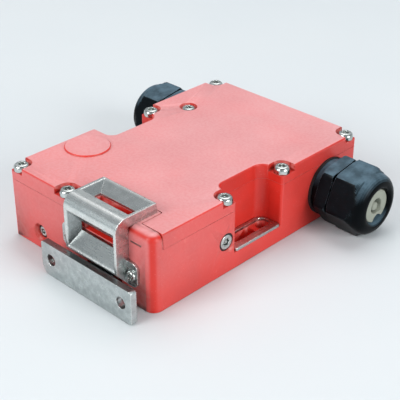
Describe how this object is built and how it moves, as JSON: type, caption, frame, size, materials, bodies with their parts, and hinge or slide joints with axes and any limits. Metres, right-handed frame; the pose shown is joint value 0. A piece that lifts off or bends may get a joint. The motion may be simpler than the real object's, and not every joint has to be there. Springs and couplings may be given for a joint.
{
  "type": "interlock_switch",
  "caption": "Tongue operated safety interlock switch with red moulded housing, stainless funnel guide, inserted actuator, locking solenoid and two side cable glands",
  "frame": {"origin": "midway between the two round mounting holes, on the mounting face", "axes": "X across the housing toward the right gland, Y from the tongue entry face toward the gland end, Z from the mounting face toward the cover"},
  "size_m": [0.1642, 0.158, 0.0452],
  "materials": {
    "red_plastic": "fine moulded grain",
    "stainless": "brushed sheet with handling marks",
    "zinc_steel": "bright zinc plate",
    "shaft_steel": "ground steel",
    "cam_zinc": "die cast",
    "copper": "plain copper",
    "brass": "plain brass",
    "black_rubber": "moulded rubber",
    "beige_rubber": "moulded rubber",
    "black_nylon": "moulded nylon",
    "white_plastic": "moulded",
    "grey_plastic": "moulded",
    "coil_plastic": "wound coil under tape"
  },
  "bodies": {
    "housing": {"housing_head": "red_plastic", "housing_front": "red_plastic", "housing_waist": "red_plastic", "housing_rear": "red_plastic", "side_flange_right": "red_plastic", "side_flange_left": "red_plastic", "cover_front": "red_plastic", "cover_waist": "red_plastic", "cover_rear": "red_plastic", "cover_gasket": "black_rubber", "cover_screws": "zinc_steel", "guide": "stainless", "guide_screws": "zinc_steel", "contact_studs": "brass", "contact_block_left": "grey_plastic", "contact_block_right": "grey_plastic", "terminal_block": "grey_plastic", "terminal_screws": "zinc_steel", "solenoid_frame": "zinc_steel", "solenoid_coil": "coil_plastic", "release_seal_side": "black_rubber", "release_seal_front": "black_rubber", "wear_plate_right": "stainless", "gland_washer_right": "black_rubber", "gland_body_right": "black_nylon", "gland_locknut_right": "black_nylon", "gland_nut_right": "black_nylon", "gland_seal_right": "beige_rubber", "wear_plate_left": "stainless", "gland_washer_left": "black_rubber", "gland_body_left": "black_nylon", "gland_locknut_left": "black_nylon", "gland_nut_left": "black_nylon", "gland_seal_left": "beige_rubber"},
    "actuator": {"actuator_plate": "stainless", "tongue_blade": "stainless"},
    "cam": {"star_cam": "cam_zinc", "cam_shaft": "shaft_steel"},
    "contacts": {"plunger_rod": "white_plastic", "plunger_crossbar": "white_plastic", "contact_bridges": "copper"},
    "lock": {"lock_bolt": "shaft_steel"},
    "release_side": {"release_screw_side": "zinc_steel"},
    "release_front": {"release_screw_front": "zinc_steel"}
  },
  "joints": [
    {"name": "actuator_slide", "type": "slide", "parent": "housing", "child": "actuator", "axis": [0, -1, 0], "range_m": [0, 0.034]},
    {"name": "cam_turn", "type": "hinge", "parent": "housing", "child": "cam", "pos_m": [0.0175, -0.063, 0.0192], "axis": [-1, 0, 0], "range_deg": [0, 195]},
    {"name": "contact_slide", "type": "slide", "parent": "housing", "child": "contacts", "axis": [0, 1, 0], "range_m": [0, 0.005]},
    {"name": "lock_slide", "type": "slide", "parent": "housing", "child": "lock", "axis": [1, 0, 0], "range_m": [0, 0.0028]},
    {"name": "release_side_turn", "type": "hinge", "parent": "housing", "child": "release_side", "pos_m": [0.05, -0.0335, 0.01735], "axis": [-1, 0, 0], "range_deg": [0, 90]},
    {"name": "release_front_turn", "type": "hinge", "parent": "housing", "child": "release_front", "pos_m": [-0.0298, -0.081, 0.009], "axis": [0, 1, 0], "range_deg": [0, 90]}
  ],
  "couplings": [
    {"joint": "cam_turn", "follows": "actuator_slide", "rad_per_m": 100},
    {"joint": "contact_slide", "follows": "actuator_slide", "ratio": 0.147}
  ]
}
